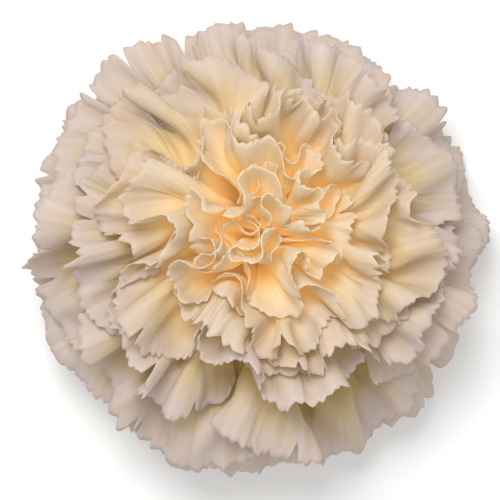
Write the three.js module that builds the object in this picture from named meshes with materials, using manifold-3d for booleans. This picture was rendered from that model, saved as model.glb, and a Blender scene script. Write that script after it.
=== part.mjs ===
// A cut double carnation: one fully open bloom on the stub of its stem, lying face up.
// Millimetres, +Z up. The bloom is built upright on the Z axis, from the cut face of its stem at
// z = 0, and is then leaned over until its guard petals and the stem's cut rim share the surface
// that it lies on. The origin is on that surface, under the middle of the bloom.
import * as THREE from "three";
import { mergeVertices } from "three/addons/utils/BufferGeometryUtils.js";
import Module from "manifold-3d";

const wasm = await Module();
wasm.setup();

// ---------------------------------------------------------------- driving dimensions
const clearance = 0.3; // between pieces that touch in the living flower

const stem = { radius: 2.4, stub: 1.8 };
const receptacle = { flare: 1.6, thickness: 1.6 };
const calyx = { length: 16.5, baseRadius: 4.9, bellyRadius: 7.0, wall: 0.6, teeth: 5, toothLength: 3.6 };
const bract = { length: 8.5, thickness: 0.5, halfSpan: 56, pairs: 2 };
const pistil = { ovaryRadius: 0.85, ovaryHeight: 6, styleRadius: 0.28, styleLength: 26, spread: 0.32 };

const petal = {
  thickness: 0.3,
  clawHalfWidth: 1.6, // widest half width of the narrow strip inside the calyx
  innerClawRing: 1.5, // distance of the innermost claws from the axis, at the calyx mouth
  heartLength: 25, // of the limb past the calyx mouth, at the axis
  guardLength: 43, // the same at the outside of the bloom
  guardBend: 103, // degrees that an outermost limb turns as it leaves the mouth; at the axis none
  heartDroop: 18, // degrees that it goes on to turn by its margin, at the axis
  guardDroop: 80, // the same at the outside of the bloom
  heartSharpness: 0.33, // share of the limb's length that the first bend takes, at the axis
  guardSharpness: 0.09, // the same at the outside of the bloom
  limbRows: 5,
  marginTooth: 0.7, // how far the teeth of the margin stand out
  shoulder: 0.2, // share by which the limb is shorter at its sides than down its middle
  imbrication: 0.33, // share of a whorl's depth by which a petal's edges pass over and under
  unevenTurn: 7, // degrees by which petals stand off their even places in a whorl
  unevenHeartLength: 0.11, // share by which their lengths differ, at the axis
  unevenGuardLength: 0.04, // the same at the outside of the bloom
};

// From the axis outwards. halfSpan is the angle that a limb covers to either side of its middle,
// at the margin; ripple is the height of the waves in the margin.
const whorls = [
  { name: "heart_petal", petals: 5, turn: 20, halfSpan: 44, columns: 6, ripple: 0.3 },
  { name: "inner_petal", petals: 6, turn: 50, halfSpan: 40, columns: 6, ripple: 0.4 },
  { name: "crown_petal", petals: 7, turn: 12, halfSpan: 34, columns: 6, ripple: 0.5 },
  { name: "middle_petal", petals: 8, turn: 35, halfSpan: 31, columns: 8, ripple: 0.7 },
  { name: "outer_petal", petals: 8, turn: 8, halfSpan: 30, columns: 8, ripple: 0.9 },
  { name: "skirt_petal", petals: 7, turn: 30, halfSpan: 34, columns: 8, ripple: 1.0 },
  { name: "guard_petal", petals: 6, turn: 26, halfSpan: 38, columns: 8, ripple: 1.0 },
];
const ripplesPerTurn = 9;
const leanTowards = 63; // degrees from +X: the side on which the bloom's face is lowest

// What follows from them.
const calyxSeat = stem.stub + receptacle.flare + clearance; // foot of the calyx and the bracts
const receptacleTop = calyxSeat + receptacle.thickness;
const mouth = calyxSeat + calyx.length; // the tips of the calyx teeth, where the petals bend out
const radians = THREE.MathUtils.degToRad;
// A fixed uneven number from -1 to 1 for each count, so that no two petals are quite alike.
const uneven = (count) => 2 * THREE.MathUtils.euclideanModulo(Math.sin(count * 12.99) * 4375.85, 1) - 1;

// ---------------------------------------------------------------- materials
const green = new THREE.MeshStandardMaterial({ color: 0x7f9a5c, roughness: 0.6, metalness: 0 });
const white = new THREE.MeshStandardMaterial({ color: 0xf2ecd8, roughness: 0.5, metalness: 0 });
const heartColour = new THREE.Color(0xeabf86);
const guardColour = new THREE.Color(0xdccabd);
const petalMaterial = (layer) =>
  new THREE.MeshStandardMaterial({
    color: heartColour.clone().lerp(guardColour, layer),
    roughness: 0.75,
    metalness: 0,
  });

// ---------------------------------------------------------------- building blocks
// A closed sheet of even thickness about a grid of middle points, point(row, column).
function sheet(rows, columns, thickness, point) {
  const middle = [];
  for (let i = 0; i <= rows; i++) {
    middle.push([]);
    for (let j = 0; j <= columns; j++) middle[i].push(point(i, j));
  }
  const normalAt = (i, j) => {
    const along = middle[Math.min(i + 1, rows)][j].clone().sub(middle[Math.max(i - 1, 0)][j]);
    const across = middle[i][Math.min(j + 1, columns)].clone().sub(middle[i][Math.max(j - 1, 0)]);
    return across.cross(along).normalize();
  };
  const corners = [];
  for (const side of [0.5, -0.5])
    for (let i = 0; i <= rows; i++)
      for (let j = 0; j <= columns; j++)
        corners.push(...middle[i][j].clone().addScaledVector(normalAt(i, j), side * thickness));

  const back = (rows + 1) * (columns + 1);
  const front = (i, j) => i * (columns + 1) + j;
  const faces = [];
  const quad = (a, b, c, d) => faces.push(a, b, c, a, c, d);
  for (let i = 0; i < rows; i++)
    for (let j = 0; j < columns; j++) {
      const [a, b, c, d] = [front(i, j), front(i, j + 1), front(i + 1, j + 1), front(i + 1, j)];
      quad(a, b, c, d);
      quad(back + d, back + c, back + b, back + a);
    }
  const edge = (a, b) => quad(b, a, back + a, back + b);
  for (let j = 0; j < columns; j++) {
    edge(front(0, j), front(0, j + 1));
    edge(front(rows, j + 1), front(rows, j));
  }
  for (let i = 0; i < rows; i++) {
    edge(front(i, columns), front(i + 1, columns));
    edge(front(i + 1, 0), front(i, 0));
  }
  return new THREE.BufferGeometry()
    .setAttribute("position", new THREE.Float32BufferAttribute(corners, 3))
    .setIndex(faces);
}

const turned = (profile, segments) =>
  new THREE.LatheGeometry(
    profile.map(([r, z]) => new THREE.Vector2(r, z)),
    segments,
  ).rotateX(Math.PI / 2);

function solid(geometry) {
  const bare = geometry.clone().deleteAttribute("normal").deleteAttribute("uv");
  const merged = mergeVertices(bare, 1e-4);
  return new wasm.Manifold(
    new wasm.Mesh({
      numProp: 3,
      vertProperties: merged.attributes.position.array,
      triVerts: new Uint32Array(merged.index.array),
    }),
  );
}

function geometryOf(manifold) {
  const mesh = manifold.getMesh();
  return new THREE.BufferGeometry()
    .setAttribute("position", new THREE.BufferAttribute(mesh.vertProperties, 3))
    .setIndex(new THREE.BufferAttribute(mesh.triVerts, 1));
}

const bloom = new THREE.Group();
function add(name, geometry, material) {
  const mesh = new THREE.Mesh(geometry, material);
  mesh.name = name;
  bloom.add(mesh);
  return mesh;
}

// ---------------------------------------------------------------- stem and receptacle
// The stub flares into a collar under the calyx and bracts, and ends inside the calyx in the
// receptacle, the disc that the petals stand on.
const bractReach = bract.pairs * (bract.thickness + clearance);
const collarRadius = calyx.baseRadius + bractReach;
const receptacleRadius = calyx.baseRadius - calyx.wall - clearance;
const stemProfile = [
  [0, 0],
  [stem.radius, 0],
  [stem.radius, stem.stub * 0.7],
  [THREE.MathUtils.lerp(stem.radius, collarRadius, 0.25), stem.stub],
  [THREE.MathUtils.lerp(stem.radius, collarRadius, 0.7), stem.stub + receptacle.flare * 0.4],
  [collarRadius, calyxSeat - clearance - 0.25],
  [collarRadius, calyxSeat - clearance],
  [receptacleRadius, calyxSeat - clearance],
  [receptacleRadius, receptacleTop],
  [0, receptacleTop],
];
add("stem", turned(stemProfile, 20), green);

// ---------------------------------------------------------------- calyx
// Outer radius of the calyx tube at a height above the cut face: a rounded foot, a long belly.
function calyxRadius(z) {
  const share = THREE.MathUtils.clamp((z - calyxSeat) / calyx.length, 0, 1);
  return calyx.baseRadius + (calyx.bellyRadius - calyx.baseRadius) * (1 - Math.exp(-share * 5));
}

// Closed tube, then a notch cut out between each two teeth.
function calyxTube() {
  const steps = 7;
  const heights = Array.from({ length: steps + 1 }, (_, i) => calyxSeat + (calyx.length * i) / steps);
  const outside = heights.map((z) => [calyxRadius(z), z]);
  const inside = heights.map((z) => [calyxRadius(z) - calyx.wall, z]).reverse();
  let tube = solid(turned([...outside, ...inside, outside[0]], 30));

  const pitch = (2 * Math.PI * calyx.bellyRadius) / calyx.teeth;
  const notch = new THREE.Shape([
    new THREE.Vector2(0, -calyx.toothLength),
    new THREE.Vector2(pitch * 0.3, -calyx.toothLength * 0.45),
    new THREE.Vector2(pitch * 0.46, 1),
    new THREE.Vector2(-pitch * 0.46, 1),
    new THREE.Vector2(-pitch * 0.3, -calyx.toothLength * 0.45),
  ]);
  const depth = calyx.bellyRadius * 0.7;
  for (let k = 0; k < calyx.teeth; k++) {
    const cutter = new THREE.ExtrudeGeometry(notch, { depth, bevelEnabled: false })
      .rotateX(Math.PI / 2) // the notch now faces -Y, its depth runs along -Y
      .translate(0, -calyx.bellyRadius * 0.6, mouth)
      .rotateZ((2 * Math.PI * k) / calyx.teeth);
    tube = tube.subtract(solid(cutter));
  }
  return geometryOf(tube);
}
add("calyx", calyxTube(), green);

// ---------------------------------------------------------------- epicalyx bracts
// Broad pointed scales in crossed pairs that clasp the foot of the calyx.
for (let pair = 0; pair < bract.pairs; pair++) {
  const gap = clearance + bract.thickness / 2 + pair * (bract.thickness + clearance);
  const rows = 6;
  const columns = 6;
  for (const half of [0, 1]) {
    const middleAngle = pair * 90 + half * 180;
    const scale = sheet(rows, columns, bract.thickness, (i, j) => {
      const up = i / rows;
      const z = calyxSeat + up * bract.length;
      const taper = Math.max(1 - Math.pow(up, 2.4), 0.04);
      const angle = radians(middleAngle + bract.halfSpan * taper * ((2 * j) / columns - 1));
      const r = calyxRadius(z) + gap;
      return new THREE.Vector3(r * Math.cos(angle), r * Math.sin(angle), z);
    });
    add(`bract_${pair * 2 + half + 1}`, scale, green);
  }
}

// ---------------------------------------------------------------- pistil
// The ovary stands on the receptacle and carries two styles up the middle of the bloom.
function pistilGeometry() {
  const foot = receptacleTop + clearance;
  const { ovaryRadius: r, ovaryHeight: h } = pistil;
  const ovary = turned([[0, 0], [r * 0.6, 0], [r, h * 0.3], [r, h * 0.6], [r * 0.5, h], [0, h]], 12);
  let whole = solid(ovary.translate(0, 0, foot));
  for (const side of [-1, 1]) {
    const line = new THREE.CatmullRomCurve3([
      new THREE.Vector3(side * pistil.spread * 0.5, 0, foot + h * 0.8),
      new THREE.Vector3(side * pistil.spread, 0, foot + h + pistil.styleLength * 0.4),
      new THREE.Vector3(side * pistil.spread, side * 0.3, foot + h + pistil.styleLength),
    ]);
    const round = new THREE.Shape().absarc(0, 0, pistil.styleRadius, 0, 2 * Math.PI);
    const style = new THREE.ExtrudeGeometry(round, { extrudePath: line, steps: 6, curveSegments: 4 });
    whole = whole.add(solid(style));
  }
  return geometryOf(whole);
}
add("pistil", pistilGeometry(), white);

// ---------------------------------------------------------------- petals
// Petals nest like the jets of a fountain. A layer runs from 0 at the axis to 1 just outside the
// guard petals; the further out it is, the sooner and the further its limb bends over.
const outerClawRing = calyx.bellyRadius - calyx.wall - clearance;
const between = THREE.MathUtils.lerp;
const layerShape = (layer) => ({
  ring: between(petal.innerClawRing, outerClawRing, layer),
  length: between(petal.heartLength, petal.guardLength, Math.pow(layer, 1.7)),
  bend: petal.guardBend * Math.pow(layer, 0.95),
  droop: between(petal.heartDroop, petal.guardDroop, Math.pow(layer, 3)),
  sharpness: between(petal.heartSharpness, petal.guardSharpness, layer),
});

// A point on a layer, at a share of the limb's length past the mouth, as [radius, height].
function fountain(layer, share) {
  const shape = layerShape(layer);
  const steps = 24;
  let [r, z] = [shape.ring, mouth + clearance];
  for (let k = 0; k < steps; k++) {
    const s = (share * (k + 0.5)) / steps;
    const first = shape.bend * (1 - Math.exp(-s / shape.sharpness));
    const turn = radians(first + shape.droop * Math.pow(s, 1.7));
    r += (Math.sin(turn) * shape.length * share) / steps;
    z += (Math.cos(turn) * shape.length * share) / steps;
  }
  return [r, z];
}

function petalGeometry(whorl, layer, middleAngle, length) {
  const { columns } = whorl;
  const claws = layerShape(layer).ring;
  const clawHalf = Math.min(petal.clawHalfWidth, (0.36 * 2 * Math.PI * claws) / whorl.petals);
  const clawSpan = clawHalf / claws;
  return sheet(petal.limbRows + 1, columns, petal.thickness, (i, j) => {
    const across = (2 * j) / columns - 1;
    const share = i === 0 ? 0 : Math.pow((i - 1) / petal.limbRows, 1.4);
    const spread = THREE.MathUtils.smoothstep(share, 0.02, 1);
    const openness = THREE.MathUtils.smoothstep(share, -0.3, 0.4);

    const half = THREE.MathUtils.lerp(clawSpan, radians(whorl.halfSpan), spread);
    const angle = radians(middleAngle) + across * half;
    const tooth = (j % 2 ? 1 : -1) * petal.marginTooth * 0.5 * Math.pow(share, 8);
    const side = 1 - petal.shoulder * across * across * share;
    const reach = length * side + tooth / layerShape(layer).length;
    const overlap = (petal.imbrication / whorls.length) * across * openness;
    let [r, z] = fountain(layer + overlap, share * reach);
    if (i === 0) [r, z] = [claws * 0.72, receptacleTop + clearance];
    z += whorl.ripple * Math.pow(share, 3) * Math.sin(ripplesPerTurn * (angle - radians(leanTowards)));
    return new THREE.Vector3(r * Math.cos(angle), r * Math.sin(angle), z);
  });
}

whorls.forEach((whorl, w) => {
  const layer = (w + 0.5) / whorls.length;
  for (let k = 0; k < whorl.petals; k++) {
    const count = 10 * w + k;
    const middleAngle = whorl.turn + (360 * k) / whorl.petals + petal.unevenTurn * uneven(count);
    const unevenLength = between(petal.unevenHeartLength, petal.unevenGuardLength, layer);
    const length = 1 + unevenLength * uneven(count + 0.5);
    const limb = petalGeometry(whorl, layer, middleAngle, length);
    add(`${whorl.name}_${k + 1}`, limb, petalMaterial(layer));
  }
});

// ---------------------------------------------------------------- lying on the surface
// The bloom leans about the rim of its stem until a guard petal is as low as that rim.
const lowest = (group, wanted) => {
  group.updateMatrixWorld(true);
  let low = Infinity;
  group.traverse((o) => {
    if (!o.isMesh || !wanted(o.name)) return;
    low = Math.min(low, new THREE.Box3().setFromObject(o, true).min.z);
  });
  return low;
};
const leanAxis = new THREE.Vector3(-Math.sin(radians(leanTowards)), Math.cos(radians(leanTowards)), 0);
let [upright, fallen] = [0, 60];
for (let k = 0; k < 18; k++) {
  const lean = (upright + fallen) / 2;
  bloom.setRotationFromAxisAngle(leanAxis, radians(lean));
  const petalsClear = lowest(bloom, (n) => n.includes("petal")) > lowest(bloom, (n) => n === "stem");
  if (petalsClear) upright = lean;
  else fallen = lean;
}
bloom.setRotationFromAxisAngle(leanAxis, radians(upright));
bloom.updateMatrixWorld(true);
const box = new THREE.Box3().setFromObject(bloom, true);
bloom.position.set(-(box.min.x + box.max.x) / 2, -(box.min.y + box.max.y) / 2, -box.min.z);

const carnation = new THREE.Group();
carnation.add(bloom);
export default carnation;
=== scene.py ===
import math

import bpy
import numpy as np
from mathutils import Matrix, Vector


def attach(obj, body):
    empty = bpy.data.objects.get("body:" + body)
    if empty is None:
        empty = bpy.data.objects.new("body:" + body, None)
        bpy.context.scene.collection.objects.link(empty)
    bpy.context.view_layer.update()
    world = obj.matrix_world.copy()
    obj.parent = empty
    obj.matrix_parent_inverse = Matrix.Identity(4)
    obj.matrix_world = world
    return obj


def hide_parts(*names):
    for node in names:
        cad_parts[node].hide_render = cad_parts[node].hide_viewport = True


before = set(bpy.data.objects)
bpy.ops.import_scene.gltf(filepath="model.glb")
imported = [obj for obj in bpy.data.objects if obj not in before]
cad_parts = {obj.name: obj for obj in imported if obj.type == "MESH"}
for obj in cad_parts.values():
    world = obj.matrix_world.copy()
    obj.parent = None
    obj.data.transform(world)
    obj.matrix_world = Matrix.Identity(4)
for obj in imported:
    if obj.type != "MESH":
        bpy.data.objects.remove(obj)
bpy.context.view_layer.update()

# ---------------------------------------------------------------- table, light and camera
# The bloom lies face up on a white table. A broad soft light stands over its upper left, in a
# pale room, so that a soft shadow falls close beside the bloom to the lower right.
table_mesh = bpy.data.meshes.new("table")
TABLE_REACH = 3.0
table_mesh.from_pydata(
    [(TABLE_REACH * x, TABLE_REACH * y, 0) for x, y in ((-1, -1), (1, -1), (1, 1), (-1, 1))],
    [],
    [(0, 1, 2, 3)],
)
table = bpy.data.objects.new("table", table_mesh)
bpy.context.scene.collection.objects.link(table)
table_white = bpy.data.materials.new("table_white")
table_white.use_nodes = True
table_skin = table_white.node_tree.nodes["Principled BSDF"]
table_skin.inputs["Base Color"].default_value = (0.66, 0.66, 0.66, 1)
table_skin.inputs["Roughness"].default_value = 0.9
table_skin.inputs["Emission Color"].default_value = (1, 1, 1, 1)
table_skin.inputs["Emission Strength"].default_value = 0.21
table_mesh.materials.append(table_white)

window_light = bpy.data.lights.new("window", "AREA")
window_light.shape = "DISK"
window_light.size = 0.45
window_light.energy = 7.4
window_light.color = (1.0, 0.99, 0.97)
window = bpy.data.objects.new("window", window_light)
window.location = (-0.13, 0.34, 0.9)
window_aim = Vector((0, 0, 0.02)) - window.location
window.rotation_euler = window_aim.to_track_quat("-Z", "Y").to_euler()
bpy.context.scene.collection.objects.link(window)

room = bpy.data.worlds.new("room")
room.use_nodes = True
room.node_tree.nodes["Background"].inputs["Color"].default_value = (1.0, 1.0, 1.0, 1)
room.node_tree.nodes["Background"].inputs["Strength"].default_value = 0.79
bpy.context.scene.world = room

view_middle = Vector((-0.0013, -0.0007, 0))
CAMERA_HEIGHT = 0.9
FOCUS_HEIGHT = 0.02
VIEW_WIDTH = 0.0823
SENSOR_WIDTH = 36
camera = bpy.data.objects.new("camera", bpy.data.cameras.new("camera"))
bpy.context.scene.collection.objects.link(camera)
camera.location = view_middle + Vector((0, 0, CAMERA_HEIGHT))
camera.data.sensor_width = SENSOR_WIDTH
camera.data.lens = SENSOR_WIDTH * (CAMERA_HEIGHT - FOCUS_HEIGHT) / VIEW_WIDTH
camera.data.clip_start = 0.01
camera.data.clip_end = 20
bpy.context.scene.camera = camera
bpy.context.scene.view_settings.view_transform = "Standard"
bpy.context.scene.view_settings.look = "None"

# ---------------------------------------------------------------- stem and receptacle
# The stub of a smooth green stem, cut square so that its paler wet pith shows. It swells into a
# collar under the calyx and ends inside it in the disc that the petals and the pistil stand on.
# It is turned about the bloom's own axis, which leans, as all the pieces after it are.
MM = 0.001
TURN = 2 * math.pi


def skin_middle(node):
    """The middle of a CAD node's surface, each triangle weighed by its area, in metres."""
    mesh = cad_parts[node].data
    corners = np.array([v.co for v in mesh.vertices], float)
    mesh.calc_loop_triangles()
    triangles = corners[np.array([t.vertices for t in mesh.loop_triangles])]
    area = np.linalg.norm(
        np.cross(triangles[:, 1] - triangles[:, 0], triangles[:, 2] - triangles[:, 0]), axis=1
    )
    return (triangles.mean(axis=1) * area[:, None]).sum(axis=0) / area.sum()


stem_middle = skin_middle("stem")
bloom_axis = skin_middle("calyx") - stem_middle
bloom_axis /= np.linalg.norm(bloom_axis)
stem_corners = np.array([v.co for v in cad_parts["stem"].data.vertices], float)
cut_middle = stem_middle + ((stem_corners - stem_middle) @ bloom_axis).min() * bloom_axis
lean = np.array(Vector((0, 0, 1)).rotation_difference(Vector(bloom_axis)).to_matrix())


def placed(points):
    """Points in the upright bloom, in millimetres, where they lie in the object, in metres."""
    return cut_middle + (np.asarray(points, float) * MM) @ lean.T


def linear(red, green, blue):
    """A colour of 0 to 255 a channel, as shaders take it."""
    return tuple(((c / 255 + 0.055) / 1.055) ** 2.4 for c in (red, green, blue)) + (1.0,)


class Wire:
    """A value in a node tree. Sums and products written with it add the tree's Math nodes."""

    def __init__(self, tree, socket):
        self.tree = tree
        self.socket = socket

    def math(self, operation, *others, swapped=False):
        values = [self, *others]
        if swapped:
            values.reverse()
        return add_node(self.tree, "ShaderNodeMath", {"operation": operation}, dict(enumerate(values)))

    def __add__(self, other):
        return self.math("ADD", other)

    def __radd__(self, other):
        return self.math("ADD", other)

    def __sub__(self, other):
        return self.math("SUBTRACT", other)

    def __rsub__(self, other):
        return self.math("SUBTRACT", other, swapped=True)

    def __mul__(self, other):
        return self.math("MULTIPLY", other)

    def __rmul__(self, other):
        return self.math("MULTIPLY", other)

    def __truediv__(self, other):
        return self.math("DIVIDE", other)

    def __pow__(self, other):
        return self.math("POWER", other)

    def rise(self, low, high):
        """0 below low, 1 above high, and smooth between them."""
        settings = {"interpolation_type": "SMOOTHSTEP"}
        return add_node(self.tree, "ShaderNodeMapRange", settings, {0: self, 1: low, 2: high})


def add_node(tree, kind, settings=None, inputs=None, output=0):
    """One node of a tree, its settings first, then its sockets, each given a value or a Wire."""
    node = tree.nodes.new(kind)
    for name, value in (settings or {}).items():
        setattr(node, name, value)
    for key, value in (inputs or {}).items():
        if isinstance(value, Wire):
            tree.links.new(value.socket, node.inputs[key])
        else:
            node.inputs[key].default_value = value
    return Wire(tree, node.outputs[output]) if node.outputs else node


def blend(tree, share, first, second, mode="MIX"):
    """Two colours mixed."""
    settings = {"data_type": "RGBA", "blend_type": mode}
    return add_node(tree, "ShaderNodeMix", settings, {0: share, 6: first, 7: second}, output=2)


def vector(tree, x, y, z):
    return add_node(tree, "ShaderNodeCombineXYZ", inputs={0: x, 1: y, 2: z})


def noise(tree, place, scale, detail):
    return add_node(tree, "ShaderNodeTexNoise", inputs={"Vector": place, "Scale": scale, "Detail": detail})


def raised(tree, height, strength, distance):
    """The normal of a skin that stands up a little where height is great."""
    inputs = {"Strength": strength, "Distance": distance, "Height": height}
    return add_node(tree, "ShaderNodeBump", inputs=inputs)


def object_place(tree):
    """Where a spot of the piece lies, in metres."""
    return add_node(tree, "ShaderNodeTexCoord", output=3)


def kept_value(tree, name):
    """A number that the mesh keeps at each of its corners under this name."""
    return add_node(tree, "ShaderNodeAttribute", {"attribute_name": name}, output=2)


def new_paint(name):
    """A material with an empty node tree."""
    material = bpy.data.materials.new(name)
    material.use_nodes = True
    material.node_tree.nodes.clear()
    return material, material.node_tree


def keep_values(mesh, values):
    """Stores numbers at a mesh's corners for its paint to read."""
    for name, numbers in values.items():
        attribute = mesh.attributes.new(name, "FLOAT", "POINT")
        attribute.data.foreach_set("value", np.asarray(numbers, np.float32))


def finished(mesh, name, node, paint):
    """A finished mesh as a piece that stands for its CAD node."""
    mesh.materials.clear()
    mesh.materials.append(paint)
    mesh.shade_smooth()
    piece = bpy.data.objects.new(name, mesh)
    bpy.context.scene.collection.objects.link(piece)
    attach(piece, "root")
    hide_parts(node)
    return piece


STEM_RADIUS = 2.4
STEM_STUB = 1.8
COLLAR_RADIUS = 6.5
COLLAR_TOP = 3.4
DISC_RADIUS = 4.0
DISC_TOP = 5.3
# Radius and height of the skin, from the middle of the cut face to the middle of the disc.
stem_profile = [
    (0, 0), (STEM_RADIUS * 0.6, 0), (STEM_RADIUS - 0.12, 0), (STEM_RADIUS, 0.15),
    (STEM_RADIUS, 0.7), (STEM_RADIUS + 0.05, 1.3), (3.35, STEM_STUB), (5.1, 2.4), (6.2, 2.85),
    (COLLAR_RADIUS, 3.1), (COLLAR_RADIUS, COLLAR_TOP - 0.05), (COLLAR_RADIUS - 0.15, COLLAR_TOP),
    (DISC_RADIUS + 0.1, COLLAR_TOP), (DISC_RADIUS, COLLAR_TOP + 0.15), (DISC_RADIUS, 4.6),
    (DISC_RADIUS - 0.25, DISC_TOP - 0.1), (DISC_RADIUS - 0.7, DISC_TOP), (2, DISC_TOP), (0, DISC_TOP),
]


def turned(corners, around, wobble):
    """A closed skin turned about the axis, its corners rounded off, and a little out of round."""
    line = np.array(corners, float)
    for _ in range(3):
        cut = np.stack([0.75 * line[:-1] + 0.25 * line[1:], 0.25 * line[:-1] + 0.75 * line[1:]], axis=1)
        line = np.concatenate([line[:1], cut.reshape(-1, 2)[1:-1], line[-1:]])
    angle = np.linspace(0, TURN, around, endpoint=False)
    ring = line[1:-1]
    radius = ring[:, :1] * (1 + wobble * np.sin(2 * angle + 0.7) + wobble * 0.6 * np.sin(5 * angle))
    height = np.repeat(ring[:, 1:], around, axis=1)
    skin = np.stack([radius * np.cos(angle), radius * np.sin(angle), height], axis=-1).reshape(-1, 3)
    points = np.concatenate([skin, [[0, 0, line[0, 1]], [0, 0, line[-1, 1]]]])
    index = np.arange(len(ring) * around).reshape(len(ring), around)
    after = np.roll(index, -1, axis=1)
    sides = np.stack([index[:-1], after[:-1], after[1:], index[1:]], axis=-1).reshape(-1, 4)
    foot = np.stack([after[0], index[0], np.full(around, len(skin))], axis=-1)
    head = np.stack([index[-1], after[-1], np.full(around, len(skin) + 1)], axis=-1)
    return points, sides.tolist() + foot.tolist() + head.tolist()


stem_points, stem_faces = turned(stem_profile, 96, 0.012)
stem_mesh = bpy.data.meshes.new("stem_stub")
stem_mesh.from_pydata(placed(stem_points), [], stem_faces)
out_from_axis = np.hypot(stem_points[:, 0], stem_points[:, 1])
on_cut = (stem_points[:, 2] < 0.02).astype(float)
keep_values(
    stem_mesh,
    {
        "along": np.clip(stem_points[:, 2] / DISC_TOP, 0, 0.9),
        "around": np.arctan2(stem_points[:, 1], stem_points[:, 0]) / TURN,
        "out": out_from_axis / STEM_RADIUS,
        "cut": on_cut,
    },
)


def stem_paint():
    """Waxy green skin, and on the cut face pale pith inside a green ring with wet fibres."""
    material, tree = new_paint("stem_skin")
    along = kept_value(tree, "along")
    out = kept_value(tree, "out")
    cut = kept_value(tree, "cut")
    place = object_place(tree)
    grain = noise(tree, place, 600.0, 4.0)
    wax = noise(tree, place, 120.0, 3.0)
    fibres = add_node(tree, "ShaderNodeTexVoronoi", inputs={"Vector": place, "Scale": 2600.0})
    green = blend(tree, along.rise(0.1, 0.7), linear(126, 150, 92), linear(154, 172, 118))
    green = blend(tree, wax.rise(0.4, 0.75) * 0.4, green, linear(186, 200, 176))
    near_skin = (out + (grain - 0.5) * 0.1).rise(0.62, 0.84)
    pith = blend(tree, near_skin, linear(214, 220, 172), linear(150, 172, 100))
    pith = blend(tree, fibres.rise(0.1, 0.5) * 0.35, pith, linear(120, 138, 78))
    colour = blend(tree, cut.rise(0.4, 0.6), green, pith)
    height = grain * 0.6 + fibres * 0.4
    bump = raised(tree, height, 0.3, 0.0002)
    skin = add_node(
        tree,
        "ShaderNodeBsdfPrincipled",
        inputs={
            "Base Color": colour,
            "Roughness": 0.5 - cut * 0.2 + (grain - 0.5) * 0.2,
            "Normal": bump,
            "Specular IOR Level": 0.45,
        },
    )
    add_node(tree, "ShaderNodeOutputMaterial", inputs={0: skin})
    return material


finished(stem_mesh, "stem_stub", "stem", stem_paint())

# ---------------------------------------------------------------- calyx
# The green tube that holds the petals' claws: five sepals grown together, ribbed by fine nerves,
# their free tips left as pointed teeth with thin pale rims. One skin is bent round to a closed
# wall by a rule in its sizes.
CALYX_SEAT = 3.7
CALYX_LENGTH = 16.5
MOUTH = CALYX_SEAT + CALYX_LENGTH
FOOT_RADIUS = 4.9
BELLY_RADIUS = 7.0


def bent_grid(name, sizes, columns, rows, shape):
    """A Geometry Nodes tree that bends a grid into one closed skin.

    shape takes the wires of the two ways across the grid, from 0 to 1, and of the named sizes,
    and gives the wires of x, y and z, and of the values that are kept for the paint."""
    tree = bpy.data.node_groups.new(name, "GeometryNodeTree")
    for size_name in sizes:
        tree.interface.new_socket(size_name, in_out="INPUT", socket_type="NodeSocketFloat")
    tree.interface.new_socket("Paint", in_out="INPUT", socket_type="NodeSocketMaterial")
    tree.interface.new_socket("Skin", in_out="OUTPUT", socket_type="NodeSocketGeometry")
    entry = tree.nodes.new("NodeGroupInput")
    size = {size_name: Wire(tree, entry.outputs[size_name]) for size_name in sizes}
    grid_sizes = {"Size X": 1.0, "Size Y": 1.0, "Vertices X": columns, "Vertices Y": rows}
    skin = add_node(tree, "GeometryNodeMeshGrid", inputs=grid_sizes)
    spot = add_node(tree, "GeometryNodeInputPosition")
    across = add_node(tree, "ShaderNodeSeparateXYZ", inputs={0: spot}, output=0) + 0.5
    up = add_node(tree, "ShaderNodeSeparateXYZ", inputs={0: spot}, output=1) + 0.5
    x, y, z, kept = shape(across, up, size)
    for kept_name, value in kept.items():
        inputs = {"Geometry": skin, "Name": kept_name, "Value": value}
        skin = add_node(tree, "GeometryNodeStoreNamedAttribute", {"data_type": "FLOAT"}, inputs)
    bent = vector(tree, x, y, z)
    skin = add_node(tree, "GeometryNodeSetPosition", inputs={"Geometry": skin, "Position": bent})
    skin = add_node(tree, "GeometryNodeMergeByDistance", inputs={"Geometry": skin, "Distance": 0.0005})
    end_tree(tree, skin, Wire(tree, entry.outputs["Paint"]))
    return tree


def end_tree(tree, skin, paint):
    """The end of every tree: real geometry, painted."""
    skin = add_node(tree, "GeometryNodeRealizeInstances", inputs={"Geometry": skin})
    skin = add_node(tree, "GeometryNodeSetMaterial", inputs={"Geometry": skin, "Material": paint})
    add_node(tree, "NodeGroupOutput", inputs={0: skin})


def run_tree(tree, name, sizes, paint):
    """Works a tree out once with these sizes and gives its plain mesh, placed in the bloom."""
    holder = bpy.data.objects.new(name, bpy.data.meshes.new(name + "_start"))
    bpy.context.scene.collection.objects.link(holder)
    rule = holder.modifiers.new("rule", "NODES")
    rule.node_group = tree
    given = {**sizes, "Paint": paint}
    for socket in tree.interface.items_tree:
        if socket.in_out == "INPUT":
            rule[socket.identifier] = given[socket.name]
    bpy.context.view_layer.update()
    mesh = bpy.data.meshes.new_from_object(holder.evaluated_get(bpy.context.evaluated_depsgraph_get()))
    mesh.name = name
    holder.modifiers.clear()
    bpy.data.objects.remove(holder)
    points = np.empty(len(mesh.vertices) * 3, np.float32)
    mesh.vertices.foreach_get("co", points)
    points = points.reshape(-1, 3)
    mesh.calc_loop_triangles()
    triangles = points[np.array([t.vertices for t in mesh.loop_triangles])].astype(float)
    volume = np.einsum("ij,ij->i", triangles[:, 0], np.cross(triangles[:, 1], triangles[:, 2])).sum()
    mesh.vertices.foreach_set("co", placed(points).astype(np.float32).ravel())
    if volume < 0:
        mesh.flip_normals()
    mesh.update()
    return mesh


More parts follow.
